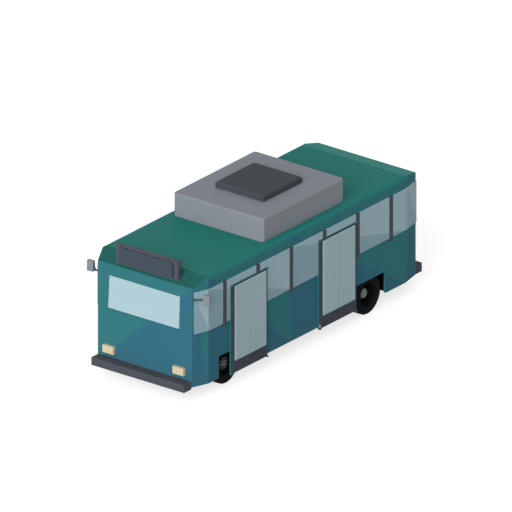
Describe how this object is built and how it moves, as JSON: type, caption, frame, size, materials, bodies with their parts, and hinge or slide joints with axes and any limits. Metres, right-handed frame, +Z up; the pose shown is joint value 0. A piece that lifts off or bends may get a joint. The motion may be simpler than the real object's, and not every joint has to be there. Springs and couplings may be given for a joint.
{
  "type": "city bus",
  "caption": "Short low-floor city bus with a hollow glazed cabin, steered front wheels, twin rear wheels, outward-swinging door leaves, a roof unit and a blank destination sign.",
  "frame": {"origin": "on the ground under the middle of the bus's overall box", "axes": "+X to the bus's own left, where the doors are; +Y to its rear; +Z up"},
  "size_m": [2.975, 7.488, 3.144],
  "materials": {
    "body_paint": "semi-gloss two-tone livery",
    "roof_paint": "semi-gloss",
    "window_glass": "clear, faintly blue",
    "dark_trim": "satin",
    "bumper_plastic": "moulded grain",
    "headlamp_lens": "clear over a warm reflector",
    "tail_lens": "ribbed",
    "sign_housing": "satin",
    "sign_face": "blank panel",
    "unit_shell": "moulded",
    "hatch_cover": "moulded",
    "mirror_shell": "moulded",
    "chassis_steel": "chassis black",
    "axle_steel": "forged, painted",
    "engine_iron": "cast",
    "spring_rubber": "moulded",
    "tyre_rubber": "matt",
    "rim_steel": "silver paint",
    "wheel_box_steel": "underseal black",
    "floor_vinyl": "speckled vinyl",
    "seat_shell": "moulded shell",
    "console_plastic": "grained",
    "pole_steel": "brushed"
  },
  "bodies": {
    "body": {"front_wall": "body_paint", "rear_wall": "body_paint", "left_wall": "body_paint", "right_wall": "body_paint", "roof": "roof_paint", "door_surrounds": "roof_paint", "windscreen": "window_glass", "side_glazing": "window_glass", "rear_glazing": "window_glass", "rear_sign": "sign_face", "window_pillars": "dark_trim", "front_bumper": "bumper_plastic", "rear_bumper": "bumper_plastic", "headlamps": "headlamp_lens", "tail_lamps": "tail_lens", "sign_frame": "sign_housing", "sign_panel": "sign_face", "roof_unit": "unit_shell", "roof_hatch": "hatch_cover", "mirror_arms": "dark_trim", "mirror_heads": "mirror_shell", "wheel_boxes": "wheel_box_steel", "floor_deck": "floor_vinyl", "rear_floor": "floor_vinyl", "floor_risers": "floor_vinyl", "chassis_rails": "chassis_steel", "crossmembers": "chassis_steel", "engine_block": "engine_iron", "front_axle": "axle_steel", "rear_axle": "axle_steel", "springs": "spring_rubber", "driver_console": "console_plastic", "steering_wheel": "console_plastic", "seats": "seat_shell", "grab_poles": "pole_steel"},
    "left_knuckle": {"left_knuckle": "axle_steel"},
    "right_knuckle": {"right_knuckle": "axle_steel"},
    "tie_rod": {"tie_rod": "axle_steel"},
    "front_left_wheel": {"front_left_tyre": "tyre_rubber", "front_left_rim": "rim_steel"},
    "rear_left_wheels": {"rear_left_tyres": "tyre_rubber", "rear_left_rims": "rim_steel"},
    "front_right_wheel": {"front_right_tyre": "tyre_rubber", "front_right_rim": "rim_steel"},
    "rear_right_wheels": {"rear_right_tyres": "tyre_rubber", "rear_right_rims": "rim_steel"},
    "front_door_front_leaf": {"front_door_front_leaf": "dark_trim", "front_door_front_pane": "window_glass"},
    "front_door_rear_leaf": {"front_door_rear_leaf": "dark_trim", "front_door_rear_pane": "window_glass"},
    "rear_door_front_leaf": {"rear_door_front_leaf": "dark_trim", "rear_door_front_pane": "window_glass"},
    "rear_door_rear_leaf": {"rear_door_rear_leaf": "dark_trim", "rear_door_rear_pane": "window_glass"}
  },
  "joints": [
    {"name": "front_left_steer", "type": "hinge", "parent": "body", "child": "left_knuckle", "pos_m": [0.845, -2.365, 0.404], "axis": [0, 0, 1], "range_deg": [-35, 35]},
    {"name": "front_right_steer", "type": "hinge", "parent": "body", "child": "right_knuckle", "pos_m": [-0.845, -2.365, 0.404], "axis": [0, 0, 1], "range_deg": [-35, 35]},
    {"name": "tie_rod_pivot", "type": "hinge", "parent": "left_knuckle", "child": "tie_rod", "pos_m": [0.845, -2.145, 0.23], "axis": [0, 0, 1], "range_deg": [-35, 35]},
    {"name": "front_left_spin", "type": "hinge", "parent": "left_knuckle", "child": "front_left_wheel", "pos_m": [0.995, -2.365, 0.404], "axis": [1, 0, 0], "continuous": true},
    {"name": "front_right_spin", "type": "hinge", "parent": "right_knuckle", "child": "front_right_wheel", "pos_m": [-0.995, -2.365, 0.404], "axis": [1, 0, 0], "continuous": true},
    {"name": "rear_left_spin", "type": "hinge", "parent": "body", "child": "rear_left_wheels", "pos_m": [0.9675, 1.958, 0.404], "axis": [1, 0, 0], "continuous": true},
    {"name": "rear_right_spin", "type": "hinge", "parent": "body", "child": "rear_right_wheels", "pos_m": [-0.9675, 1.958, 0.404], "axis": [1, 0, 0], "continuous": true},
    {"name": "front_door_front_swing", "type": "hinge", "parent": "body", "child": "front_door_front_leaf", "pos_m": [1.32, -2.437, 1.18], "axis": [0, 0, -1], "range_deg": [0, 90]},
    {"name": "front_door_rear_swing", "type": "hinge", "parent": "body", "child": "front_door_rear_leaf", "pos_m": [1.32, -1.366, 1.18], "axis": [0, 0, 1], "range_deg": [0, 90]},
    {"name": "rear_door_front_swing", "type": "hinge", "parent": "body", "child": "rear_door_front_leaf", "pos_m": [1.32, 0.329, 1.18], "axis": [0, 0, -1], "range_deg": [0, 90]},
    {"name": "rear_door_rear_swing", "type": "hinge", "parent": "body", "child": "rear_door_rear_leaf", "pos_m": [1.32, 1.426, 1.18], "axis": [0, 0, 1], "range_deg": [0, 90]}
  ],
  "couplings": [
    {"joint": "front_right_steer", "follows": "front_left_steer", "ratio": 1},
    {"joint": "tie_rod_pivot", "follows": "front_left_steer", "ratio": -1}
  ]
}
